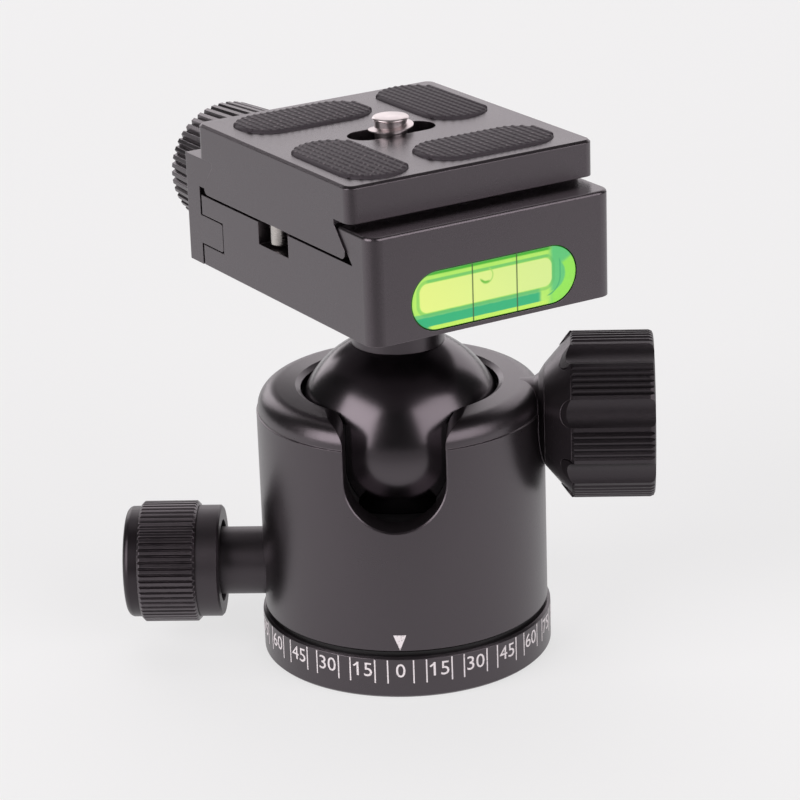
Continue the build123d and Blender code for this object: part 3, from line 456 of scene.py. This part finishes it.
def level_acrylic():
    """Fluorescent acrylic of the spirit level, with the spirit, its bubble and its two lines in it, and
    painted light and shade of light refracted in it; the colours also glow as painted light.
    """
    made = Shader(
        "level_acrylic",
        Coat_Weight=0.5,
        Coat_Roughness=0.04,
        Roughness=0.3,
        IOR=1.35,
        Emission_Strength=LEVEL_PAINTED_GLOW,
    )
    along, across, up = made.axes(CLAMP_TURN)
    ripple = made.noise(1.2, detail=3.0) * 0.22 - 0.11
    half = (LEVEL_LENGTH / 2, LEVEL_WIDTH / 2)
    rim = card_distance(along, up, LEVEL_CENTRE, half, LEVEL_WIDTH / 2)
    vial = card_distance(along, up, VIAL_CENTRE, VIAL_HALF, VIAL_CORNER)
    colour = made.mix(made.noise(2.0), *LEVEL_BODY)

    # the right end, in a darker painted colour of the view through the clear wall, and the bright
    # crescent in it, a painted highlight of refracted light
    right_end = (along + ripple).ramp(LEVEL_END_START, LEVEL_END_START + 1.0)
    colour = made.mix(right_end, colour, LEVEL_END)
    crescent_highlight = right_end * (rim + ripple).ramp(-LEVEL_CRESCENT_WIDTH, -LEVEL_CRESCENT_WIDTH + 0.3)
    crescent_highlight = crescent_highlight * (1 - (up - along * 0.5).ramp(55.0, 55.8))
    colour = made.mix(crescent_highlight, colour, LEVEL_CRESCENT_HIGHLIGHT)

    # the dark roof of the bore, a painted shade, and its painted shadow
    band = 1 - right_end
    roof_shade = up.ramp(LEVEL_ROOF_HEIGHT, LEVEL_ROOF_HEIGHT + 0.25)
    colour = made.mix(band * roof_shade, colour, LEVEL_ROOF_SHADE)
    shadow = up.ramp(LEVEL_ROOF_SHADOW_HEIGHT, LEVEL_ROOF_SHADOW_HEIGHT + 0.15)
    shadow = shadow * (1 - up.ramp(LEVEL_ROOF_SHADOW_TOP, LEVEL_ROOF_SHADOW_TOP + 0.15))
    shadow = shadow * (along - LEVEL_ROOF_SHADOW_START).ramp(0, 0.5)
    colour = made.mix(shadow * band, colour, LEVEL_ROOF_SHADOW)

    # the block under the vial in painted shade, its teal band, and the bright sill, a painted highlight
    under = 1 - (up + ripple * 0.5).ramp(LEVEL_UNDER_HEIGHT, LEVEL_UNDER_HEIGHT + 0.2)
    under = under * (1 - (along + ripple).ramp(LEVEL_UNDER_END, LEVEL_UNDER_END + 0.8))
    colour = made.mix(under, colour, LEVEL_UNDER)
    teal = 1 - (up + ripple).ramp(LEVEL_TEAL_HEIGHT, LEVEL_TEAL_HEIGHT + 0.25)
    colour = made.mix(under * teal, colour, LEVEL_TEAL)
    sill_highlight = 1 - (up + ripple * 0.4).ramp(LEVEL_SILL_HEIGHT, LEVEL_SILL_HEIGHT + 0.15)
    sill_highlight = sill_highlight * along.ramp(LEVEL_SILL_START, LEVEL_SILL_START + 1.0)
    sill_highlight = sill_highlight * (1 - along.ramp(LEVEL_SILL_END, LEVEL_SILL_END + 0.8))
    colour = made.mix(sill_highlight, colour, LEVEL_SILL_HIGHLIGHT)

    # the vial's wall, as a painted shade along it and a painted darker arc at its right end, and the
    # spirit in it
    halo_shade = 1 - abs(vial - LEVEL_HALO_OFFSET).ramp(0.1, 0.34)
    colour = made.mix(halo_shade * 0.45, colour, LEVEL_HALO_SHADE)
    arc_shade = 1 - abs(vial - LEVEL_ARC_OFFSET).ramp(0.05, 0.16)
    arc_shade = arc_shade * along.ramp(LEVEL_ARC_START, LEVEL_ARC_START + 0.6)
    arc_shade = arc_shade * (1 - up.ramp(LEVEL_ARC_TOP, LEVEL_ARC_TOP + 0.7))
    colour = made.mix(arc_shade * 0.8, colour, LEVEL_ARC_SHADE)
    spirit = made.mix((along + up * 0.6).ramp(22.0, 46.0), *LEVEL_SPIRIT)
    colour = made.mix(1 - vial.ramp(-0.1, 0.06), colour, spirit)

    # the bubble, with a painted highlight at its right edge and painted shade under its lower one, the
    # lines and the rim
    bubble = card_distance(along, up, BUBBLE_CENTRE, (BUBBLE_RADIUS, BUBBLE_RADIUS), BUBBLE_RADIUS)
    bubble_highlight = (1 - abs(bubble).ramp(0.06, 0.16)) * (along - up * 0.5).ramp(-31.9, -31.2)
    colour = made.mix(bubble_highlight * 0.7, colour, BUBBLE_RIGHT_HIGHLIGHT)
    bubble_shade = (1 - abs(bubble + 0.18).ramp(0.08, 0.24)) * (1 - (up + along * 0.3).ramp(60.4, 60.8))
    colour = made.mix(bubble_shade, colour, BUBBLE_LOWER_SHADE)
    for line in LEVEL_LINES:
        mark = 1 - abs(along - line).ramp(LEVEL_LINE_HALF_WIDTH - 0.03, LEVEL_LINE_HALF_WIDTH + 0.03)
        colour = made.mix(mark * 0.85, colour, LEVEL_LINE)
    colour = made.mix(rim.ramp(-0.2, -0.1), colour, LEVEL_RIM)
    # the colours are also emitted: a painted glow on top of the lit colour
    made.set(Base_Color=made.mix(0.3, colour, BLACK), Emission_Color=colour)
    return made.material


# ---- making pieces ------------------------------------------------------------------------------

def finish_piece(name, mesh, body, material, replaces=()):
    """Makes a millimetre mesh an object with its finish, riding on a body."""
    bmesh.ops.transform(mesh, matrix=Matrix.Scale(MM, 4), verts=mesh.verts)
    bmesh.ops.recalc_face_normals(mesh, faces=mesh.faces)
    data = bpy.data.meshes.new(name)
    mesh.to_mesh(data)
    mesh.free()
    data.shade_smooth()
    data.set_sharp_from_angle(angle=SHARP_ANGLE)
    data.materials.append(material)
    made = bpy.data.objects.new(name, data)
    bpy.context.scene.collection.objects.link(made)
    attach(made, body)
    if replaces:
        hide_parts(*replaces)


def add_to(whole, mesh):
    """Adds a mesh to another and frees it."""
    data = bpy.data.meshes.new("part")
    mesh.to_mesh(data)
    mesh.free()
    whole.from_mesh(data)
    bpy.data.meshes.remove(data)


def stadium(mesh, length, width, place, segments=40):
    """Flat slot shape in the XY plane, its length along X, moved to its place; returns its face."""
    made = bmesh.ops.create_circle(mesh, cap_ends=True, radius=width / 2, segments=segments)
    turn = Matrix.Rotation(pi / segments, 4, "Z")
    bmesh.ops.transform(mesh, matrix=turn, verts=made["verts"])
    for vertex in made["verts"]:
        vertex.co.x += (length - width) / 2 * (1 if vertex.co.x > 0 else -1)
    bmesh.ops.transform(mesh, matrix=place, verts=made["verts"])
    return made["verts"][0].link_faces[0]


def raise_face(mesh, face, offset):
    """Extrudes a face by a vector into a closed block; returns the moved face."""
    made = bmesh.ops.extrude_face_region(mesh, geom=[face], use_keep_orig=True)
    moved = [item for item in made["geom"] if isinstance(item, bmesh.types.BMVert)]
    bmesh.ops.translate(mesh, vec=offset, verts=moved)
    return next(item for item in made["geom"] if isinstance(item, bmesh.types.BMFace))


def round_edges(mesh, edges, width, segments=3):
    bmesh.ops.bevel(
        mesh, geom=edges, offset=width, segments=segments, profile=0.5, affect="EDGES", material=-1
    )


def turned(mesh, outline, axis_point):
    """Solid of revolution about a vertical axis, from an outline of (radius, height) points."""
    verts = [mesh.verts.new(axis_point + Vector((radius, 0, height))) for radius, height in outline]
    edges = [mesh.edges.new(pair) for pair in zip(verts, verts[1:])]
    bmesh.ops.spin(
        mesh,
        geom=verts + edges,
        cent=axis_point,
        axis=(0, 0, 1),
        angle=2 * pi,
        steps=ROUND_STEPS,
        use_merge=True,
    )
    bmesh.ops.remove_doubles(mesh, verts=mesh.verts, dist=1e-4)


def helix(mesh, section, centre, axis, pitch, turns, steps=32):
    """A closed section of points swept round an axis as a screw thread or a coil."""
    verts = [mesh.verts.new(point) for point in section]
    face = mesh.faces.new(verts)
    rise = Vector(axis) * pitch / steps
    bmesh.ops.spin(
        mesh,
        geom=verts + list(face.edges) + [face],
        cent=centre,
        axis=axis,
        dvec=rise,
        angle=2 * pi * turns,
        steps=round(steps * turns),
        use_merge=False,
    )
    bmesh.ops.holes_fill(mesh, edges=[edge for edge in mesh.edges if edge.is_boundary], sides=0)


def wrap(mesh, radius, azimuth, height, slice_width=0.6):
    """Lays a flat drawing, its face on +Z, round an upright drum at an azimuth and a height."""
    reach = max(abs(vertex.co.x) for vertex in mesh.verts)
    for step in range(1, int(2 * reach / slice_width) + 1):
        bmesh.ops.bisect_plane(
            mesh,
            geom=mesh.verts[:] + mesh.edges[:] + mesh.faces[:],
            plane_co=(step * slice_width - reach, 0, 0),
            plane_no=(1, 0, 0),
        )
    for vertex in mesh.verts:
        angle = azimuth + vertex.co.x / radius
        reach = radius + vertex.co.z
        vertex.co = (reach * cos(angle), reach * sin(angle), height + vertex.co.y)


# ---- pieces -------------------------------------------------------------------------------------

def rubber_pads():
    """Four pads let into the plate, with rounded sides and ribs across the clamp."""
    mesh = bmesh.new()
    straight = (PAD_LENGTH - PAD_WIDTH) / 2
    round_end = PAD_WIDTH / 2
    crown = PAD_TOP - PAD_RIB_RISE
    for offset in PADS_ALONG + PADS_ACROSS:
        lengthwise = offset in PADS_ALONG
        centre = PLATE_CENTRE + Vector((*offset, 0))
        turn = Matrix.Rotation(0 if lengthwise else pi / 2, 4, "Z")
        foot = Matrix.Translation(centre + Vector((0, 0, node_low("rubber_pads").z)))
        flat = stadium(mesh, PAD_LENGTH, PAD_WIDTH, foot @ turn)
        top = raise_face(mesh, flat, (0, 0, crown - foot[2][3]))
        round_edges(mesh, list(top.edges), PAD_EDGE_ROUND, segments=5)
        reach = round_end + (straight if lengthwise else 0)
        count = int((reach - PAD_EDGE_ROUND) / PAD_RIB_PITCH)
        for rib in range(-count, count + 1):
            along = rib * PAD_RIB_PITCH
            past = max(abs(along) - (straight if lengthwise else 0), 0)
            chord = sqrt(round_end**2 - past**2) + (0 if lengthwise else straight) - PAD_EDGE_ROUND * 0.7
            bar = bmesh.ops.create_cone(
                mesh,
                cap_ends=True,
                segments=16,
                radius1=PAD_RIB_RADIUS,
                radius2=PAD_RIB_RADIUS,
                depth=2 * chord,
            )
            lay = Matrix.Rotation(pi / 2, 4, "X")
            rest = Matrix.Translation(centre + Vector((along, 0, PAD_TOP - PAD_RIB_RADIUS)))
            bmesh.ops.transform(mesh, matrix=rest @ lay, verts=bar["verts"])
            edges = {edge for vertex in bar["verts"] for edge in vertex.link_edges}
            caps = [edge for edge in edges if edge.calc_face_angle() > 1]
            round_edges(mesh, caps, PAD_RIB_RADIUS * 0.5)
    bmesh.ops.transform(mesh, matrix=CLAMP, verts=mesh.verts)
    finish_piece("ribbed_pads", mesh, "plate", pad_rubber(), ["rubber_pads"])


def camera_screw(metal):
    """Quarter-inch camera screw: slotted head, shank, the thread above the plate and a dog point."""
    mesh = bmesh.new()
    head_top = SCREW_BOTTOM + SCREW_HEAD_HEIGHT
    slot_floor = SCREW_BOTTOM + SCREW_SLOT_DEPTH
    point_bottom = SCREW_TOP - SCREW_POINT_HEIGHT
    outline = [
        (0, slot_floor),
        (SCREW_HEAD_RADIUS - 0.3, slot_floor),
        (SCREW_HEAD_RADIUS, slot_floor),
        (SCREW_HEAD_RADIUS, head_top - 0.2),
        (SCREW_HEAD_RADIUS - 0.2, head_top),
        (SCREW_ROOT, head_top),
        (SCREW_ROOT, point_bottom - 0.15),
        (SCREW_POINT_RADIUS - 0.05, point_bottom),
        (SCREW_POINT_RADIUS, point_bottom + 0.08),
        (SCREW_POINT_RADIUS, SCREW_TOP - 0.3),
        (SCREW_POINT_RADIUS - 0.07, SCREW_TOP - 0.14),
        (SCREW_POINT_RADIUS - 0.2, SCREW_TOP - 0.04),
        (SCREW_POINT_RADIUS - 0.38, SCREW_TOP),
        (0, SCREW_TOP),
    ]
    turned(mesh, outline, SCREW_CENTRE)
    for side in (-1, 1):
        add_to(mesh, slotted_head_half(side))
    add_to(mesh, free_thread())
    bmesh.ops.transform(mesh, matrix=CLAMP, verts=mesh.verts)
    finish_piece("camera_screw_threaded", mesh, "camera_screw", metal, ["camera_screw"])


def slotted_head_half(side):
    """The head's lower layer on one side of its coin slot."""
    half = bmesh.new()
    bmesh.ops.create_cone(
        half,
        cap_ends=True,
        segments=ROUND_STEPS,
        radius1=SCREW_HEAD_RADIUS - 0.2,
        radius2=SCREW_HEAD_RADIUS,
        depth=SCREW_SLOT_DEPTH,
    )
    cut = bmesh.ops.bisect_plane(
        half,
        geom=half.verts[:] + half.edges[:] + half.faces[:],
        plane_co=(0, side * SCREW_SLOT_HALF_WIDTH, 0),
        plane_no=(0, side, 0),
        clear_inner=True,
    )
    bmesh.ops.contextual_create(half, geom=cut["geom_cut"])
    middle = SCREW_CENTRE + Vector((0, 0, SCREW_BOTTOM + SCREW_SLOT_DEPTH / 2))
    bmesh.ops.translate(half, vec=middle, verts=half.verts)
    return half


def free_thread():
    """The screw's thread from the plate's top up, fading out under the point."""
    thread = bmesh.new()
    start = SCREW_CENTRE + Vector((0, 0, SCREW_THREAD_START))
    turn = Matrix.Rotation(SCREW_THREAD_ANGLE, 3, "Z")
    section = [
        start + turn @ Vector((SCREW_ROOT - SCREW_SUNK, 0, -0.1)),
        start + turn @ Vector((SCREW_CREST, 0, -SCREW_CREST_HALF)),
        start + turn @ Vector((SCREW_CREST, 0, SCREW_CREST_HALF)),
        start + turn @ Vector((SCREW_ROOT - SCREW_SUNK, 0, SCREW_FLANK)),
    ]
    helix(thread, section, SCREW_CENTRE, (0, 0, 1), SCREW_PITCH, SCREW_THREAD_TURNS, steps=48)
    for vertex in thread.verts:
        out = (vertex.co - SCREW_CENTRE).xy
        limit = SCREW_CREST - SCREW_CHAMFER_SLOPE * max(vertex.co.z - SCREW_CHAMFER_START, 0)
        if out.length > limit:
            vertex.co.xy = SCREW_CENTRE.xy + out.normalized() * max(limit, SCREW_ROOT - 0.05)
    return thread


def tripod_thread(metal):
    """Thread inside the steel socket."""
    mesh = bmesh.new()
    start = 0.5 * SOCKET_PITCH
    sunk = SOCKET_RADIUS + 0.05
    section = [
        Vector((sunk, 0, start - SOCKET_ROOT_HALF)),
        Vector((sunk, 0, start + SOCKET_ROOT_HALF)),
        Vector((SOCKET_CREST, 0, start + SOCKET_CREST_HALF)),
        Vector((SOCKET_CREST, 0, start - SOCKET_CREST_HALF)),
    ]
    turns = (SOCKET_LENGTH - SOCKET_PITCH) / SOCKET_PITCH
    helix(mesh, section, (0, 0, 0), (0, 0, 1), SOCKET_PITCH, turns, steps=40)
    finish_piece("tripod_thread", mesh, "base", metal)


def jaw_springs(metal):
    """Two wire springs between the clamp and its sliding jaw."""
    mesh = bmesh.new()
    for along in (-SPRING_ALONG, SPRING_ALONG):
        section = []
        for step in range(8):
            angle = step * pi / 4
            across = SPRING_WIRE * sin(angle) + SPRING_START + SPRING_WIRE
            out = along + SPRING_RADIUS + SPRING_WIRE * cos(angle)
            section.append(Vector((out, across, SPRING_HEIGHT)))
        pitch = (SPRING_END - SPRING_START - 2 * SPRING_WIRE) / SPRING_TURNS
        helix(mesh, section, (along, 0, SPRING_HEIGHT), (0, 1, 0), pitch, SPRING_TURNS, steps=24)
    bmesh.ops.transform(mesh, matrix=CLAMP, verts=mesh.verts)
    finish_piece("jaw_coils", mesh, "clamp", metal, ["jaw_springs"])


def spirit_level():
    """Acrylic block of the spirit level, with a softened front edge."""
    mesh = bmesh.new()
    centre = Vector((LEVEL_CENTRE[0], LEVEL_FACE, LEVEL_CENTRE[1]))
    upright = Matrix.Rotation(pi / 2, 4, "X")
    front = stadium(mesh, LEVEL_LENGTH, LEVEL_WIDTH, Matrix.Translation(centre) @ upright, segments=64)
    rim = list(front.edges)
    raise_face(mesh, front, (0, LEVEL_DEPTH, 0))
    round_edges(mesh, rim, LEVEL_EDGE_ROUND)
    bmesh.ops.transform(mesh, matrix=CLAMP, verts=mesh.verts)
    replaced = ["level_vial", "level_spirit", "level_plug"]
    finish_piece("spirit_level", mesh, "clamp", level_acrylic(), replaced)


def number_mesh(label):
    """A number as a thin flat solid, centred, with digits one unit high."""
    curve = bpy.data.curves.new("number", "FONT")
    curve.body = label
    curve.align_x = "CENTER"
    curve.resolution_u = 3
    curve.extrude = NUMBER_HALF_THICKNESS
    text = bpy.data.objects.new("number", curve)
    bpy.context.scene.collection.objects.link(text)
    bpy.context.view_layer.update()
    data = bpy.data.meshes.new_from_object(text)
    bpy.data.objects.remove(text)
    bpy.data.curves.remove(curve)
    mesh = bmesh.new()
    mesh.from_mesh(data)
    bpy.data.meshes.remove(data)
    bmesh.ops.remove_doubles(mesh, verts=mesh.verts, dist=1e-5)
    if label.startswith("1"):
        # a leading 1 gets a leaning flag at its top
        left = min(vertex.co.x for vertex in mesh.verts)
        top = max(vertex.co.y for vertex in mesh.verts)
        flag = bmesh.ops.create_cube(mesh, size=1.0)["verts"]
        lean = Matrix.Translation((left - 0.05, top - 0.13, 0)) @ Matrix.Rotation(FLAG_LEAN, 4, "Z")
        bmesh.ops.transform(mesh, matrix=lean @ Matrix.Diagonal(FLAG_SIZE), verts=flag)
    low = Vector([min(vertex.co[axis] for vertex in mesh.verts) for axis in range(3)])
    high = Vector([max(vertex.co[axis] for vertex in mesh.verts) for axis in range(3)])
    bmesh.ops.translate(mesh, vec=-(low + high) / 2, verts=mesh.verts)
    bmesh.ops.scale(mesh, vec=(1 / (high.y - low.y),) * 3, verts=mesh.verts)
    return mesh


def degree_scale(ink):
    """A number every 15 degrees and ticks every 5 between them, both ways from the front."""
    whole = bmesh.new()
    depth = 2 * INK_THICKNESS
    for degrees_away in range(-175, 181, 5):
        if degrees_away % 15:
            mesh = bmesh.new()
            bmesh.ops.create_cube(mesh, size=1.0)
            bmesh.ops.scale(mesh, vec=(TICK_WIDTH, TICK_TOP - TICK_BOTTOM, depth), verts=mesh.verts)
            height = (TICK_TOP + TICK_BOTTOM) / 2
        else:
            mesh = number_mesh(str(abs(degrees_away)))
            thickness = max(vertex.co.z for vertex in mesh.verts) * 2
            width = DIGIT_WIDTH if abs(degrees_away) < 100 else NARROW_DIGIT_WIDTH
            bmesh.ops.scale(mesh, vec=(width, DIGIT_HEIGHT, depth / thickness), verts=mesh.verts)
            height = DIGIT_MIDDLE
        wrap(mesh, DRUM_RADIUS, FRONT + radians(degrees_away), height)
        add_to(whole, mesh)
    finish_piece("degree_scale", whole, "base", ink)


def index_mark(ink):
    """Triangle above the zero of the scale, pointing down at it."""
    mesh = bmesh.new()
    bmesh.ops.create_circle(mesh, cap_ends=True, radius=1.0, segments=3)
    width = sqrt(3) / 2
    bmesh.ops.rotate(mesh, matrix=Matrix.Rotation(pi, 3, "Z"), verts=mesh.verts)
    bmesh.ops.translate(mesh, vec=(0, 1, -INK_THICKNESS), verts=mesh.verts)
    size = (INDEX_HALF_WIDTH / width, (INDEX_TOP - INDEX_TIP) / 1.5, 1)
    bmesh.ops.scale(mesh, vec=size, verts=mesh.verts)
    raise_face(mesh, next(iter(mesh.faces)), (0, 0, 2 * INK_THICKNESS))
    wrap(mesh, HOUSING_RADIUS, FRONT, INDEX_TIP, slice_width=0.3)
    finish_piece("index_mark", mesh, "housing", ink)


# ---- camera, light and floor --------------------------------------------------------------------

EYE = Vector((23.340, -404.627, 184.278)) * MM
TARGET = Vector((-0.013, 0.0, 36.533)) * MM
FOCAL_PIXELS = 3051.42
FRAME_PIXELS = 800
SENSOR_WIDTH = 36.0
CAMERA_ROLL = -0.0342


def place_camera():
    """Camera in front and above, rolled a little about its own axis."""
    forward = (TARGET - EYE).normalized()
    level = forward.cross(Vector((0, 0, 1))).normalized()
    upright = level.cross(forward)
    right = cos(CAMERA_ROLL) * level + sin(CAMERA_ROLL) * upright
    up = cos(CAMERA_ROLL) * upright - sin(CAMERA_ROLL) * level
    data = bpy.data.cameras.new("view_camera")
    data.sensor_width = SENSOR_WIDTH
    data.lens = SENSOR_WIDTH * FOCAL_PIXELS / FRAME_PIXELS
    data.clip_start = 0.01
    data.clip_end = 20
    camera = bpy.data.objects.new("view_camera", data)
    bpy.context.scene.collection.objects.link(camera)
    turn = Matrix((right, up, -forward)).transposed()
    camera.matrix_world = Matrix.Translation(EYE) @ turn.to_4x4()
    bpy.context.scene.camera = camera


LAMP_COLOUR = (1.0, 0.955, 0.975)
OBJECT_MIDDLE = Vector((0, 0, 0.045))
AIR_LIGHT = (0.05, 0.05, 0.05, 1)
AIR_SEEN = tone(236, 236, 236)
# Each box: name, place, width and height (metres), and power (watts).
SOFT_BOXES = [
    ("front_left_box", (-0.58, -0.462, 0.33), 0.67, 0.62, 4.9),
    ("front_right_box", (0.58, -0.47, 0.38), 0.78, 0.62, 4.0),
    ("back_wall", (0.0, 0.95, 0.50), 2.00, 0.90, 7.6),
    ("back_left_box", (-0.42, 0.74, 0.30), 0.30, 0.44, 0.3),
    ("top_box", (0.0, 0.36, 0.92), 1.00, 0.70, 1.4),
]


def soft_box(name, place, width, height, power):
    """Rectangular light that faces the middle of the object."""
    data = bpy.data.lights.new(name, "AREA")
    data.shape = "RECTANGLE"
    data.size = width
    data.size_y = height
    data.energy = power
    data.color = LAMP_COLOUR
    lamp = bpy.data.objects.new(name, data)
    bpy.context.scene.collection.objects.link(lamp)
    lamp.location = place
    lamp.rotation_euler = (Vector(place) - OBJECT_MIDDLE).to_track_quat("Z", "Y").to_euler()


def light_studio():
    """Soft boxes round the object, and dim air that only the camera sees pale."""
    for lamp in SOFT_BOXES:
        soft_box(*lamp)
    world = bpy.data.worlds.new("studio_air")
    bpy.context.scene.world = world
    world.use_nodes = True
    tree = world.node_tree
    seen = tree.nodes.new("ShaderNodeLightPath")
    mix = tree.nodes.new("ShaderNodeMix")
    mix.data_type = "RGBA"
    mix.inputs[6].default_value = AIR_LIGHT
    mix.inputs[7].default_value = AIR_SEEN
    tree.links.new(seen.outputs["Is Camera Ray"], mix.inputs[0])
    tree.links.new(mix.outputs[2], tree.nodes["Background"].inputs["Color"])


FLOOR_HALF_WIDTH = 3.0
FLOOR_GLOW = 0.63
FLOOR_GREY = 0.67
FLOOR_SHADE = 0.8
FLOOR_SHADE_START = 40
FLOOR_SHADE_END = 220


def lay_floor():
    """Pale floor that keeps the shadow; gloss sees it darker towards the front."""
    mesh = bmesh.new()
    bmesh.ops.create_grid(mesh, x_segments=1, y_segments=1, size=FLOOR_HALF_WIDTH)
    data = bpy.data.meshes.new("studio_floor")
    mesh.to_mesh(data)
    mesh.free()
    floor = bpy.data.objects.new("studio_floor", data)
    bpy.context.scene.collection.objects.link(floor)
    made = Shader("floor_paint", Roughness=0.9, Specular_IOR_Level=0.0, Emission_Strength=FLOOR_GLOW)
    cloud = made.noise(400.0)
    paint = made.mix(cloud, shade(WHITE, 0.98), WHITE)
    reflected = Wire(made, made.node("ShaderNodeLightPath", {}).outputs["Is Glossy Ray"])
    front = 1 - made.axes()[1].ramp(-FLOOR_SHADE_END, -FLOOR_SHADE_START)
    glow = made.mix(front * reflected * FLOOR_SHADE, paint, BLACK)
    made.set(Base_Color=made.mix(FLOOR_GREY, paint, BLACK), Emission_Color=glow)
    data.materials.append(made.material)


place_camera()
light_studio()
lay_floor()
bpy.context.scene.view_settings.view_transform = "Standard"

# ---- the solids' finishes -----------------------------------------------------------------------

STEEL = bare_metal("turned_steel", tone(205, 200, 196), 0.28)
NICKEL = bare_metal("bright_nickel", tone(216, 206, 206), 0.3)
FINISHES = {
    "anodised": anodised("anodised_black"),
    "ball_finish": polished_ball(),
    "rubber": moulded_rubber(),
    "steel": STEEL,
    "nickel": NICKEL,
    "brass": bare_metal("turned_brass", tone(222, 190, 128), 0.3),
    "nylon": plain_plastic("black_nylon", tone(26, 25, 26), 0.5),
    "plastic": plain_plastic("black_plastic", tone(24, 21, 23), 0.34, ANODISED_SHEEN),
    "clear": plain_plastic("green_acrylic", tone(170, 238, 96), 0.1),
    "spirit": plain_plastic("green_spirit", tone(228, 250, 140), 0.1),
}
CLAMP_FINISH = anodised("anodised_clamp", gloss=1.97, roughness=0.3)
PAN_KNOB_FINISH = anodised("anodised_pan_knob", gloss=1.7, roughness=0.42)
OWN_FINISHES = {
    "clamp_body": CLAMP_FINISH,
    "movable_jaw": CLAMP_FINISH,
    "quick_release_plate": CLAMP_FINISH,
    "pan_knob_core": PAN_KNOB_FINISH,
    "pan_lock_bush": PAN_KNOB_FINISH,
}
for part in frame["record"]["subparts"]:
    node = frame["nodes"][part["node"]]
    finish = OWN_FINISHES.get(part["node"], FINISHES[part["material_slot"]])
    node.data.materials.clear()
    node.data.materials.append(finish)

# ---- the pieces made here -----------------------------------------------------------------------

INK = printed_white()
rubber_pads()
camera_screw(NICKEL)
tripod_thread(STEEL)
jaw_springs(STEEL)
spirit_level()
degree_scale(INK)
index_mark(INK)
